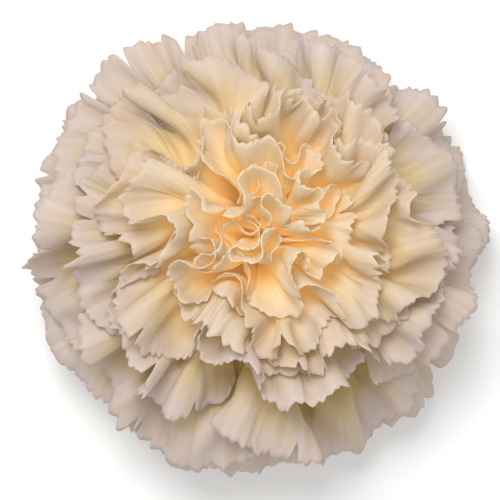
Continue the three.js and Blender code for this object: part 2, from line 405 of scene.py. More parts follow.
def round_the_wall(way):
    """Where a way round a wall's section lies: from -1 inside to 1 outside, and from foot to rim."""
    side = (way * TURN).math("SINE") * 6
    side = side.math("MINIMUM", 1.0).math("MAXIMUM", -1.0)
    rise = 1 - (way * 2 - 1).math("ABSOLUTE")
    return side, rise


def calyx_radius(share, size):
    """The calyx swells fast from its foot and then runs nearly straight."""
    swell = 1 - (share * -5).math("EXPONENT")
    return size["Foot radius"] + (size["Belly radius"] - size["Foot radius"]) * swell


def calyx_shape(across, way, size):
    side, rise = round_the_wall(way)
    tooth_place = ((across + 0.25) * size["Teeth"]).math("FRACT")
    from_tip = (tooth_place * 2 - 1).math("ABSOLUTE")
    top = size["Length"] - size["Tooth length"] * from_tip ** 1.15
    height = rise * top
    share = height / size["Length"]
    middle = calyx_radius(share, size)
    nerve = (across * TURN * size["Nerves"]).math("COSINE")
    outside = side.math("MAXIMUM", 0.0)
    rib = nerve * size["Nerve height"] * outside * share.rise(0.03, 0.2)
    keel = (1 - from_tip * 1.4).math("MAXIMUM", 0.0) * 0.16 * outside
    flare = 0.35 * (share ** 8)
    radius = middle - size["Wall"] * 0.5 + side * size["Wall"] * 0.5 + rib + keel + flare
    angle = across * TURN
    x = radius * angle.math("COSINE")
    y = radius * angle.math("SINE")
    z = height + size["Seat"]
    return x, y, z, {"along": rise, "around": across}


def leaf_paint(name, low, high, rim, nerve_count):
    """Waxy leaf skin, low at its foot and high at its top, with nerves and a thin paler rim."""
    material, tree = new_paint(name)
    along = kept_value(tree, "along")
    around = kept_value(tree, "around")
    place = object_place(tree)
    mottle = noise(tree, place, 420.0, 4.0)
    bloom_wax = noise(tree, place, 95.0, 3.0)
    nerve_place = vector(tree, around * nerve_count, along * 2, 1)
    nerves = noise(tree, nerve_place, 1.0, 2.0)
    colour = blend(tree, (along + (bloom_wax - 0.5) * 0.4).rise(0.05, 0.85), low, high)
    colour = blend(tree, (nerves + (mottle - 0.5) * 0.3).rise(0.42, 0.72) * 0.35, colour, rim)
    colour = blend(tree, (along + (mottle - 0.5) * 0.05).rise(0.93, 0.995), colour, rim)
    colour = blend(tree, bloom_wax.rise(0.45, 0.75) * 0.25, colour, linear(196, 208, 190))
    height = nerves * 0.7 + mottle * 0.3
    bump = raised(tree, height, 0.4, 0.0002)
    skin = add_node(
        tree,
        "ShaderNodeBsdfPrincipled",
        inputs={
            "Base Color": colour,
            "Roughness": 0.48 + (mottle - 0.5) * 0.3,
            "Normal": bump,
            "Specular IOR Level": 0.4,
            "Sheen Weight": 0.1,
        },
    )
    add_node(tree, "ShaderNodeOutputMaterial", inputs={0: skin})
    return material


calyx_sizes = {
    "Seat": CALYX_SEAT,
    "Length": CALYX_LENGTH,
    "Foot radius": FOOT_RADIUS,
    "Belly radius": BELLY_RADIUS,
    "Wall": 0.6,
    "Teeth": 5.0,
    "Tooth length": 3.6,
    "Nerves": 35.0,
    "Nerve height": 0.06,
}
calyx_green = leaf_paint(
    "calyx_skin", linear(150, 168, 108), linear(112, 140, 84), linear(196, 202, 150), 70
)
calyx_tree = bent_grid("calyx_wall", calyx_sizes, 421, 97, calyx_shape)
calyx_mesh = run_tree(calyx_tree, "calyx_tube", calyx_sizes, calyx_green)
finished(calyx_mesh, "calyx_tube", "calyx", calyx_green)

# ---------------------------------------------------------------- bracts
# Four broad pointed scales clasp the foot of the calyx in two crossed pairs, the outer pair over
# the inner. Each is a thin leaf, thickest down its middle, that narrows to a short point.
BRACT_LENGTH = 8.5
BRACT_THICKNESS = 0.5
BRACT_GAP = 0.3


def bract_shape(along, way, size):
    side = (way * TURN).math("COSINE")
    taper = (1 - along ** 2.4).math("MAXIMUM", 0.0) ** 0.85 + 0.02
    ends = (along.rise(0, 0.05) * (1 - along.rise(0.93, 1))).math("MAXIMUM", 0.0)
    thin = (way * TURN).math("SINE") * 0.5 * size["Thickness"] * ends
    angle = (size["Turn"] + size["Half span"] * taper * side) * (math.pi / 180)
    calyx = calyx_radius(along * size["Length"] / size["Calyx length"], size)
    keel = 0.12 * (1 - side * side) * ends
    tip = 0.25 * along.rise(0.8, 1.0)
    radius = calyx + size["Gap"] + thin + keel * thin.math("SIGN").math("MAXIMUM", 0.0) + tip
    x = radius * angle.math("COSINE")
    y = radius * angle.math("SINE")
    z = size["Seat"] + along * size["Length"]
    return x, y, z, {"along": along, "around": side * 0.2}


bract_sizes = {
    "Turn": 0.0,
    "Gap": 0.0,
    "Seat": CALYX_SEAT,
    "Length": BRACT_LENGTH,
    "Half span": 55.0,
    "Thickness": BRACT_THICKNESS,
    "Foot radius": FOOT_RADIUS,
    "Belly radius": BELLY_RADIUS,
    "Calyx length": CALYX_LENGTH,
}
bract_green = leaf_paint(
    "bract_skin", linear(168, 180, 122), linear(124, 150, 92), linear(206, 206, 158), 60
)
bract_tree = bent_grid("bract_scale", bract_sizes, 49, 81, bract_shape)
for number in range(4):
    pair = number // 2
    bract_sizes["Turn"] = 90.0 * pair + 180.0 * (number % 2)
    bract_sizes["Gap"] = BRACT_GAP + BRACT_THICKNESS / 2 + pair * (BRACT_THICKNESS + BRACT_GAP)
    bract_mesh = run_tree(bract_tree, f"bract_scale_{number + 1}", bract_sizes, bract_green)
    finished(bract_mesh, f"bract_scale_{number + 1}", f"bract_{number + 1}", bract_green)

# ---------------------------------------------------------------- pistil
# A small pale green ovary on the disc carries two thin cream styles, which stand up inside the
# heart petals, curl apart at their tips, and are set there with fine soft hairs.
OVARY_FOOT = DISC_TOP + 0.3
OVARY_HEIGHT = 6.0
STYLE_LENGTH = 26.0
pistil_sizes = {
    "Foot": OVARY_FOOT,
    "Ovary radius": 0.85,
    "Ovary height": OVARY_HEIGHT,
    "Style length": STYLE_LENGTH,
    "Style radius": 0.28,
    "Spread": 0.32,
    "Hair length": 0.28,
}


def pistil_tree():
    tree = bpy.data.node_groups.new("pistil", "GeometryNodeTree")
    for size_name in pistil_sizes:
        tree.interface.new_socket(size_name, in_out="INPUT", socket_type="NodeSocketFloat")
    tree.interface.new_socket("Paint", in_out="INPUT", socket_type="NodeSocketMaterial")
    tree.interface.new_socket("Skin", in_out="OUTPUT", socket_type="NodeSocketGeometry")
    entry = tree.nodes.new("NodeGroupInput")
    size = {size_name: Wire(tree, entry.outputs[size_name]) for size_name in pistil_sizes}

    ball = add_node(tree, "GeometryNodeMeshUVSphere", inputs={"Segments": 32, "Rings": 24, "Radius": 1.0})
    ovary = add_node(
        tree,
        "GeometryNodeTransform",
        inputs={
            "Geometry": ball,
            "Translation": vector(tree, 0, 0, size["Foot"] + size["Ovary height"] * 0.5),
            "Scale": vector(tree, size["Ovary radius"], size["Ovary radius"], size["Ovary height"] * 0.5),
        },
    )
    pieces = [ovary]
    neck = size["Foot"] + size["Ovary height"] * 0.9
    tip = size["Foot"] + size["Ovary height"] + size["Style length"]
    round_section = add_node(
        tree, "GeometryNodeCurvePrimitiveCircle", inputs={"Resolution": 12, "Radius": 1.0}
    )
    for hand in (-1, 1):
        path = add_node(
            tree,
            "GeometryNodeCurvePrimitiveBezierSegment",
            inputs={
                "Resolution": 40,
                "Start": vector(tree, size["Spread"] * hand * 0.5, 0, neck),
                "Start Handle": vector(tree, size["Spread"] * hand * 1.2, 0, neck * 0.65 + tip * 0.35),
                "End Handle": vector(tree, size["Spread"] * hand, 0.1 * hand, neck * 0.3 + tip * 0.7),
                "End": vector(tree, size["Spread"] * hand * 1.6, 0.5 * hand, tip),
            },
        )
        share = add_node(tree, "GeometryNodeSplineParameter")
        thin = size["Style radius"] * (1 - share * 0.45)
        path = add_node(tree, "GeometryNodeSetCurveRadius", inputs={0: path, "Radius": thin})
        tube_inputs = {"Curve": path, "Profile Curve": round_section, "Fill Caps": True}
        tube = add_node(tree, "GeometryNodeCurveToMesh", inputs=tube_inputs)
        pieces.append(tube)
        spot = add_node(tree, "GeometryNodeInputPosition")
        height = add_node(tree, "ShaderNodeSeparateXYZ", inputs={0: spot}, output=2)
        near_tip = (height / tip).rise(0.72, 0.9)
        seeds = tree.nodes.new("GeometryNodeDistributePointsOnFaces")
        tree.links.new(tube.socket, seeds.inputs["Mesh"])
        tree.links.new((near_tip * 14).socket, seeds.inputs["Density"])
        seeds.inputs["Seed"].default_value = 3 + hand
        hair = add_node(
            tree,
            "GeometryNodeMeshCone",
            inputs={
                "Vertices": 5,
                "Side Segments": 1,
                "Radius Top": 0.01,
                "Radius Bottom": 0.035,
                "Depth": size["Hair length"],
            },
        )
        hairs = add_node(
            tree,
            "GeometryNodeInstanceOnPoints",
            inputs={
                "Points": Wire(tree, seeds.outputs["Points"]),
                "Instance": hair,
                "Rotation": Wire(tree, seeds.outputs["Rotation"]),
            },
        )
        pieces.append(hairs)
    joined = tree.nodes.new("GeometryNodeJoinGeometry")
    for piece in pieces:
        tree.links.new(piece.socket, joined.inputs[0])
    end_tree(tree, Wire(tree, joined.outputs[0]), Wire(tree, entry.outputs["Paint"]))
    return tree


def pistil_paint():
    """Pale green ovary that passes into soft creamy styles up the bloom's axis."""
    material, tree = new_paint("pistil_skin")
    height = kept_value(tree, "height")
    place = object_place(tree)
    mottle = noise(tree, place, 900.0, 3.0)
    share = (height + (mottle - 0.5) * 0.08).rise(0.1, 0.3)
    colour = blend(tree, share, linear(186, 200, 132), linear(240, 220, 170))
    bump = raised(tree, mottle, 0.25, 0.0001)
    skin = add_node(
        tree,
        "ShaderNodeBsdfPrincipled",
        inputs={
            "Base Color": colour,
            "Roughness": 0.5 + (mottle - 0.5) * 0.2,
            "Normal": bump,
            "Subsurface Weight": 0.2,
            "Subsurface Scale": 0.0005,
        },
    )
    add_node(tree, "ShaderNodeOutputMaterial", inputs={0: skin})
    return material


pistil_cream = pistil_paint()
pistil_mesh = run_tree(pistil_tree(), "pistil_styles", pistil_sizes, pistil_cream)
pistil_points = np.empty(len(pistil_mesh.vertices) * 3, np.float32)
pistil_mesh.vertices.foreach_get("co", pistil_points)
up_the_axis = (pistil_points.reshape(-1, 3) - cut_middle) @ bloom_axis / MM - OVARY_FOOT
keep_values(pistil_mesh, {"height": up_the_axis / (OVARY_HEIGHT + STYLE_LENGTH)})
finished(pistil_mesh, "pistil_styles", "pistil", pistil_cream)

# ---------------------------------------------------------------- petals
# Nearly fifty thin petals stand in seven whorls on the disc. Each margin grew longer than its place,
# so it buckles into ruffles that push its neighbours aside. Here each petal is a net of threads whose
# margin grows step by step, while the nets keep clear of each other and stay rooted in the calyx.
INNER_RING = 1.5
OUTER_RING = 6.1
CLEARANCE = 0.3
OVERLAP = 0.33
# How a limb bends over, in degrees, and how long it is: at the heart, and what is added on the way
# out to the guard petals.
OUTER_BEND = 103
HEART_DROOP = 18
ADDED_DROOP = 62
HEART_LENGTH = 25
ADDED_LENGTH = 18
UNEVEN_TURN = 7
WHORLS = [
    dict(name="heart_petal", petals=5, turn=20, half_span=44, growth=1.0, sway=2.6, flare=4.2),
    dict(name="inner_petal", petals=6, turn=50, half_span=40, growth=1.0, sway=3.4, flare=3.2),
    dict(name="crown_petal", petals=7, turn=12, half_span=34, growth=0.95, sway=3.6, flare=2.6),
    dict(name="middle_petal", petals=8, turn=35, half_span=31, growth=0.55, sway=3.4, flare=2.2),
    dict(name="outer_petal", petals=8, turn=8, half_span=30, growth=0.45, sway=3.0, flare=1.0),
    dict(name="skirt_petal", petals=7, turn=30, half_span=34, growth=0.32, sway=2.4, flare=0.0),
    dict(name="guard_petal", petals=6, turn=26, half_span=38, growth=0.16, sway=1.2, flare=0.0),
]
# Where neighbouring layers stand apart and leave a hollow: direction in degrees, layer, and how
# far round it reaches in degrees.
HOLLOWS = [
    (-62, 0.68, 20), (-112, 0.66, 16), (196, 0.68, 18), (-60, 0.33, 26), (86, 0.58, 26), (25, 0.62, 18),
    (150, 0.5, 20), (-20, 0.45, 18), (-150, 0.4, 20),
]
# Waves that bend the whole bloom a little: length in millimetres, height, heading and start.
MEANDERS = [(19, 1.5, 0.4, 0.3), (14, 1.1, 2.1, 1.9), (11, 0.7, 3.6, 4.0), (17, 1.2, 5.0, 2.6)]
# Where the outer petals are longer or shorter than the rest: direction in degrees, share, and how
# far round it reaches in degrees.
LENGTHENINGS = [(127, -0.09, 22), (58, 0.06, 42), (318, 0.045, 26), (200, 0.035, 14)]
ROWS = 22
COLUMNS = 37
CLAW_ROWS = 2
STEPS = 260
TABLE_GAP = 0.7
INERTIA = 0.85
MEMORY = 0.008
STRETCH = 0.8
SHEAR = 0.4
KNOT_SPACING = 0.85
KNOT_REACH = 1.8
rows_up = np.r_[np.zeros(CLAW_ROWS), np.linspace(0, 1, ROWS - CLAW_ROWS) ** 1.15]
columns_across = np.linspace(-1, 1, COLUMNS)


def uneven(count):
    """A fixed uneven number from -1 to 1 for each count."""
    return 2 * ((np.sin(count * 12.99) * 4375.85) % 1) - 1


def smooth(low, high, value):
    share = np.clip((value - low) / (high - low), 0, 1)
    return share * share * (3 - 2 * share)


def opened(layer, angle):
    """Layers spread apart about each hollow and crowd together to either side of it."""
    moved = layer
    for direction, middle, reach in HOLLOWS:
        off = (np.degrees(angle) - direction + 180) % 360 - 180
        depth = (layer - middle) / 0.13
        moved = moved + 0.13 * 1.5 * depth * np.exp(-(depth**2) - (off / reach) ** 2)
    return moved


def fountain(layer, share):
    """Radius and height on a layer of the bloom, at a share of the limb's length past the mouth.

    The layers nest like the jets of a fountain: the further out, the sooner and the further over."""
    bend = OUTER_BEND * layer**0.95
    droop = HEART_DROOP + ADDED_DROOP * layer**3
    sharpness = 0.33 - 0.24 * layer
    length = HEART_LENGTH + ADDED_LENGTH * layer**1.7
    radius = INNER_RING + (OUTER_RING - INNER_RING) * layer
    height = np.full_like(radius, MOUTH + CLEARANCE)
    steps = 24
    for k in range(steps):
        s = share * (k + 0.5) / steps
        turn = np.radians(bend * (1 - np.exp(-s / sharpness)) + droop * s**1.7)
        radius = radius + np.sin(turn) * length * share / steps
        height = height + np.cos(turn) * length * share / steps
    return radius, height


def rounded_out(layer, angle):
    """The share by which the outer petals' lengths differ with direction."""
    longer = 0
    for direction, share, reach in LENGTHENINGS:
        off = (np.degrees(angle) - direction + 180) % 360 - 180
        longer = longer + share * np.exp(-((off / reach) ** 2))
    return 1 + longer * smooth(0.6, 0.9, layer)


def meander(points):
    """Bends the whole bloom a little, so that its whorls are not true rings."""
    above = smooth(MOUTH + 3, MOUTH + 16, points[..., 2])
    from_axis = np.hypot(points[..., 0], points[..., 1])
    calm = 1 - 0.6 * smooth(24, 36, from_axis)
    bent = points.copy()
    for wave_length, size, heading, start in MEANDERS:
        ahead = math.cos(heading) * points[..., 0] + math.sin(heading) * points[..., 1]
        wave = size * np.sin(TURN * ahead / wave_length + start) * above * calm
        bent[..., 0] -= math.sin(heading) * wave
        bent[..., 1] += math.cos(heading) * wave
        bent[..., 2] += 0.5 * wave * smooth(4, 14, from_axis)
    return bent


petals = []
young_nets = []
share, across = np.meshgrid(rows_up, columns_across, indexing="ij")
for w, whorl in enumerate(WHORLS):
    layer = (w + 0.5) / len(WHORLS)
    ring = INNER_RING + (OUTER_RING - INNER_RING) * layer
    claw_half = min(1.6, 0.36 * TURN * ring / whorl["petals"])
    spread = smooth(0.02, 1, share)
    half_angle = claw_half / ring * (1 - spread) + math.radians(whorl["half_span"]) * spread
    # Each petal's one edge passes under its neighbour and its other edge over.
    own_layer = layer + OVERLAP / len(WHORLS) * across * smooth(-0.3, 0.4, share)
    free_of_claw = smooth(0.1, 0.6, share)
    for k in range(whorl["petals"]):
        count = 10 * w + k
        turn = whorl["turn"] + 360 * k / whorl["petals"] + UNEVEN_TURN * uneven(count)
        angle = math.radians(turn) + across * half_angle
        length = 1 + (0.11 - 0.07 * layer) * uneven(count + 0.5)
        reach = share * length * rounded_out(layer, angle) * (1 - 0.2 * across**2 * share)
        pushed = opened(own_layer, angle) * free_of_claw + own_layer * (1 - free_of_claw)
        radius, height = fountain(pushed, reach)
        radius[0] = ring * 0.72
        height[0] = DISC_TOP + CLEARANCE
        radius[1] = ring * 0.95
        height[1] = MOUTH - 3
        young_nets.append(np.stack([radius * np.cos(angle), radius * np.sin(angle), height], axis=-1))
        name = f"{whorl['name']}_{k + 1}"
        petals.append({**whorl, "name": name, "whorl": w, "layer": layer, "count": count})
young = meander(np.array(young_nets))
petal_count = len(petals)
layers = np.array([petal["layer"] for petal in petals])


def grid_normals(net):
    """Unit normals of nets of points (..., rows, columns, 3), out of the side the bloom shows."""
    normal = np.cross(np.gradient(net, axis=-2), np.gradient(net, axis=-3))
    return normal / (np.linalg.norm(normal, axis=-1, keepdims=True) + 1e-12)


GROWTH_SEED = 7
random = np.random.default_rng(GROWTH_SEED)


def smooth_noise(rows, columns, cells_up, cells_across):
    """Smooth random values from about -1 to 1 on each petal's net."""
    coarse = random.normal(0, 0.6, (petal_count, cells_up + 3, cells_across + 3))
    up = np.linspace(0, cells_up, rows)
    over = np.linspace(0, cells_across, columns)
    i = np.minimum(up.astype(int), cells_up)
    j = np.minimum(over.astype(int), cells_across)
    up_share = smooth(0, 1, up - i)[None, :, None]
    over_share = smooth(0, 1, over - j)[None, None, :]
    corner = [[coarse[:, i + a][:, :, j + b] for b in (0, 1)] for a in (0, 1)]
    low = corner[0][0] * (1 - over_share) + corner[0][1] * over_share
    high = corner[1][0] * (1 - over_share) + corner[1][1] * over_share
    return low * (1 - up_share) + high * up_share


def thread_lengths(net, axis):
    return np.linalg.norm(np.diff(net, axis=axis), axis=-1)


def near_pairs(points, reach, petal, row, column):
    """Pairs of knots within reach of each other, except near neighbours on one net."""
    cell = np.floor(points / reach).astype(np.int64)
    cell -= cell.min(axis=0) - 1
    size = cell.max(axis=0) + 2
    key = (cell[:, 0] * size[1] + cell[:, 1]) * size[2] + cell[:, 2]
    order = np.argsort(key, kind="stable")
    key = key[order]
    firsts = []
    seconds = []
    for dx, dy, low, high in ((0, 0, 0, 1), (0, 1, -1, 1), (1, -1, -1, 1), (1, 0, -1, 1), (1, 1, -1, 1)):
        shift = (dx * size[1] + dy) * size[2]
        start = np.searchsorted(key, key + shift + low, "left")
        stop = np.searchsorted(key, key + shift + high, "right")
        if dx == 0 and dy == 0:
            start = np.arange(len(key)) + 1
        number = np.maximum(stop - start, 0)
        first = np.repeat(np.arange(len(key)), number)
        offset = np.arange(number.sum()) - np.repeat(np.cumsum(number) - number, number)
        firsts.append(order[first])
        seconds.append(order[np.repeat(start, number) + offset])
    first = np.concatenate(firsts)
    second = np.concatenate(seconds)
    gap = points[first] - points[second]
    close = (gap * gap).sum(axis=1) < reach * reach
    first = first[close]
    second = second[close]
    apart = petal[first] != petal[second]
    apart |= np.abs(row[first] - row[second]) > 4
    apart |= np.abs(column[first] - column[second]) > 4
    return first[apart], second[apart]


def size_of(gap):
    return np.sqrt(np.einsum("...i,...i->...", gap, gap)) + 1e-9


def grow():
    """Grows the nets and gives their knots, as (petals, rows, columns, 3)."""
    up = rows_up[None, :, None]
    normal = grid_normals(young)
    across_rest = thread_lengths(young, 2)
    along_rest = thread_lengths(young, 1).astype(np.float32)
    growth = np.array([petal["growth"] for petal in petals])
    grown_share = smooth(0.12, 1.0, rows_up) ** 0.8
    patch = 1 + 0.5 * smooth_noise(ROWS, COLUMNS - 1, 1, 4)
    excess = growth[:, None, None] * grown_share[None, :, None] * np.clip(patch, 0.2, 2)
    seed = 1.5 * smooth_noise(ROWS, COLUMNS, 1, 3) + 0.4 * smooth_noise(ROWS, COLUMNS, 2, 6)
    swaying = smooth_noise(ROWS, COLUMNS, 1, 3)
    # Near the heart the folds are smaller and deeper.
    near_heart = (1 - smooth(0.3, 0.55, layers))[:, None, None]
    seed += 1.2 * near_heart * smooth_noise(ROWS, COLUMNS, 2, 8)
    swaying += 0.8 * near_heart * smooth_noise(ROWS, COLUMNS, 1, 7)
    points = (young + normal * (seed * up**1.5 * 0.9)[..., None]).astype(np.float32)
    before = points.copy()
    # Only knots about a millimetre apart keep others away, so the crowded claws have few.
    spacing = (across_rest * (1 + excess)).mean(axis=2)
    skip = np.clip(np.round(KNOT_SPACING / spacing), 1, 9).astype(int)
    body = (0.55 + 0.15 * layers)[:, None, None] * smooth(0.12, 0.5, rows_up)[None, :, None]
    keeper = (np.arange(COLUMNS)[None, None, :] % skip[:, :, None] == 0) & (body > 0.2)
    keeper = np.flatnonzero(keeper)
    body = (body * np.ones((petal_count, ROWS, COLUMNS))).ravel()[keeper].astype(np.float32)
    petal, row, column = (a.ravel()[keeper] for a in np.indices((petal_count, ROWS, COLUMNS)))
    across_rest = across_rest.astype(np.float32)
    excess = excess.astype(np.float32)
    # Where each petal would like to stand: it sways in and out along its margin and flares.
    sway = np.array([petal["sway"] for petal in petals])
    outward = [0.8 * petal["layer"] + uneven(petal["count"] + 0.25) for petal in petals]
    flare = np.array([petal["flare"] for petal in petals]) * outward
    wish = 1.6 * sway[:, None, None] * swaying * up**1.4
    wish = (normal * (wish + flare[:, None, None] * up**3)[..., None]).astype(np.float32)
    rest = young.astype(np.float32)
    free = np.ones((petal_count, ROWS, COLUMNS), np.float32)
    free[:, rows_up < 0.1] = 0
    memory = MEMORY * free
    table_up = lean[2].astype(np.float32)
    stands = np.float32(cut_middle[2] / MM - TABLE_GAP)

    def pull(axis, stride, wanted, strength):
        """Threads of one direction draw or push their ends towards their length."""
        for start in (0, stride):
            index = np.arange(start, points.shape[axis] - stride)
            index = index[(index - start) % (2 * stride) < stride]
            near = (slice(None),) * axis + (index,)
            away = (slice(None),) * axis + (index + stride,)
            gap = points[away] - points[near]
            now = size_of(gap)
            loose = np.maximum(free[near] + free[away], 1e-9)
            change = gap * (strength * (now - wanted[near]) / (now * loose))[..., None]
            points[near] += change * free[near][..., None]
            points[away] -= change * free[away][..., None]

    def pull_slanting(wanted, strength, left, right):
        """The same for one diagonal of each mesh of the nets."""
        for first in (0, 1):
            rows = np.arange(first, ROWS - 1, 2)
            near = (slice(None), rows[:, None], left[None, :])
            away = (slice(None), rows[:, None] + 1, right[None, :])
            gap = points[away] - points[near]
            now = size_of(gap)
            loose = np.maximum(free[near] + free[away], 1e-9)
            change = gap * (strength * (now - wanted[:, rows]) / (now * loose))[..., None]
            points[near] += change * free[near][..., None]
            points[away] -= change * free[away][..., None]

    low_columns = np.arange(COLUMNS - 1)
    for step in range(STEPS):
        wide = across_rest * (1 + excess * smooth(0, 0.75, step / STEPS))
        mesh_width = 0.5 * (wide[:, 1:] + wide[:, :-1])
        mesh_height = 0.5 * (along_rest[:, :, 1:] + along_rest[:, :, :-1])
        slanting = np.sqrt(mesh_width**2 + mesh_height**2)
        moved = points + (points - before) * INERTIA * free[..., None]
        before = points
        points = moved + (rest + wish * smooth(0, 0.6, step / STEPS) - moved) * memory[..., None]
        for _ in range(2):
            pull(2, 1, wide, STRETCH)
            pull(1, 1, along_rest, STRETCH)
            pull_slanting(slanting, SHEAR, low_columns, low_columns + 1)
            pull_slanting(slanting, SHEAR, low_columns + 1, low_columns)
        # Threads don't like to bend sharply.
        threads = np.pad(np.cumsum(wide, axis=2), ((0, 0), (0, 0), (1, 0)))
        for stride, strength in ((2, 0.2), (4, 0.1)):
            pull(2, stride, (threads[:, :, stride:] - threads[:, :, :-stride]) * 0.97, strength)
        pull(1, 2, (along_rest[:, 1:] + along_rest[:, :-1]) * 0.98, 0.15)
        # Petals don't pass through each other.
        knots = points.reshape(-1, 3)[keeper]
        if step % 6 == 0:
            first, second = near_pairs(knots, KNOT_REACH, petal, row, column)
            need = body[first] + body[second]
        gap = knots[second] - knots[first]
        now = size_of(gap)
        hit = np.flatnonzero(now < need)
        push = gap[hit] * (0.35 * (now[hit] - need[hit]) / now[hit])[:, None]
        load = np.bincount(first[hit], minlength=len(knots))
        load += np.bincount(second[hit], minlength=len(knots))
        ease = 1 / np.sqrt(np.maximum(load, 1))
        for axis in range(3):
            change = np.bincount(first[hit], push[:, axis], len(knots))
            change -= np.bincount(second[hit], push[:, axis], len(knots))
            knots[:, axis] += change * ease
        points.reshape(-1, 3)[keeper] = knots
        # Nor do they sink into the table.
        points += np.maximum(-(points @ table_up + stands), 0)[..., None] * table_up
    return points


nets = grow()
FINE_ROWS = 34
FINE_COLUMNS = 225
PETAL_THICKNESS = 0.3
TABLE_CLEARANCE = 0.25
MARGIN_SEED = 100
BLOOM_RADIUS = 38
BLOOM_DEPTH = 14

# How high the bloom stands over each spot, smoothed over a few millimetres, tells how deep in it a point
# of a petal lies. The petals' paint uses it for painted shade and a painted glow in the depth of the
# bloom.
CELL = 2.0
CELLS = 52
tops = np.zeros((CELLS, CELLS))
knots = nets.reshape(-1, 3)
cells = np.clip((knots[:, :2] / CELL + CELLS / 2).astype(int), 0, CELLS - 1)
np.maximum.at(tops, (cells[:, 0], cells[:, 1]), knots[:, 2])
for _ in range(3):
    edged = np.pad(tops, 1, mode="edge")
    tops = sum(edged[i : i + CELLS, j : j + CELLS] for i in range(3) for j in range(3)) / 9


def top_height(x, y):
    i = np.clip(x / CELL + CELLS / 2 - 0.5, 0, CELLS - 1.001)
    j = np.clip(y / CELL + CELLS / 2 - 0.5, 0, CELLS - 1.001)
    a = i.astype(int)
    b = j.astype(int)
    i = i - a
    j = j - b
    low = tops[a, b] * (1 - j) + tops[a, b + 1] * j
    high = tops[a + 1, b] * (1 - j) + tops[a + 1, b + 1] * j
    return low * (1 - i) + high * i


def spline_at(values, places):
    """A smooth curve through rows of values (rows, columns, 3), read at places (any, columns)."""
    padded = np.concatenate([2 * values[:1] - values[1:2], values, 2 * values[-1:] - values[-2:-1]])
    low = np.clip(places.astype(int), 0, len(values) - 2)
    t = places - low
    shares = ((1 - t) ** 3, 3 * t**3 - 6 * t**2 + 4, -3 * t**3 + 3 * t**2 + 3 * t + 1, t**3)
    column = np.arange(values.shape[1])[None, :]
    return sum(part[..., None] / 6 * padded[low + k, column] for k, part in enumerate(shares))


def margin_reach(dice, margin, slits, tongues):
    """How far a margin stands out, in millimetres, at each length along it.

    Uneven teeth, some round and some sharp, stand on broad lobes, a few slits cut in, and near the
    heart a few long tongues stand out."""
    edges = [0.0]
    while edges[-1] < margin[-1]:
        edges.append(edges[-1] + 1.0 + 2.6 * dice.random() ** 1.6)
    edges = np.array(edges)
    which = np.clip(np.searchsorted(edges, margin, "right") - 1, 0, len(edges) - 2)
    inside = (margin - edges[which]) / (edges[which + 1] - edges[which])
    pitch = np.diff(edges)
    height = (0.3 + 0.42 * pitch * dice.random(len(pitch)))[which]
    peak = (0.25 + 0.5 * dice.random(len(pitch)))[which]
    blunt = (0.75 + 1.3 * dice.random(len(pitch)) ** 1.5)[which]
    off_peak = np.where(inside < peak, (peak - inside) / peak, (inside - peak) / (1 - peak))
    reach = height * (1 - off_peak**blunt)
    reach += 0.6 * np.sin(margin / 6.3 + TURN * dice.random())
    reach += 0.3 * np.sin(margin / 2.9 + TURN * dice.random())
    for _ in range(slits):
        place = margin[-1] * (0.12 + 0.76 * dice.random())
        depth = 1.4 + 2.4 * dice.random()
        reach -= depth * np.exp(-(((margin - place) / 0.5) ** 2))
    for _ in range(tongues):
        place = margin[-1] * (0.08 + 0.84 * dice.random())
        reach += (1.4 + 2.2 * dice.random()) * np.exp(-np.abs(margin - place) / 1.3)
    return reach


def pleats(dice):
    """The rise of a limb across its width: soft folds and a few sharp creases, in millimetres."""
    sideways = np.linspace(-1, 1, FINE_COLUMNS)
    fold = np.interp(sideways, np.linspace(-1, 1, 16), dice.normal(0, 0.2, 16))
    fold += np.interp(sideways, np.linspace(-1, 1, 44), dice.normal(0, 0.13, 44))
    for _ in range(12):
        off = np.abs(sideways - dice.uniform(-1, 1)) / dice.uniform(0.012, 0.045)
        fold += dice.normal(0, 0.2) * np.exp(-off)
    return fold


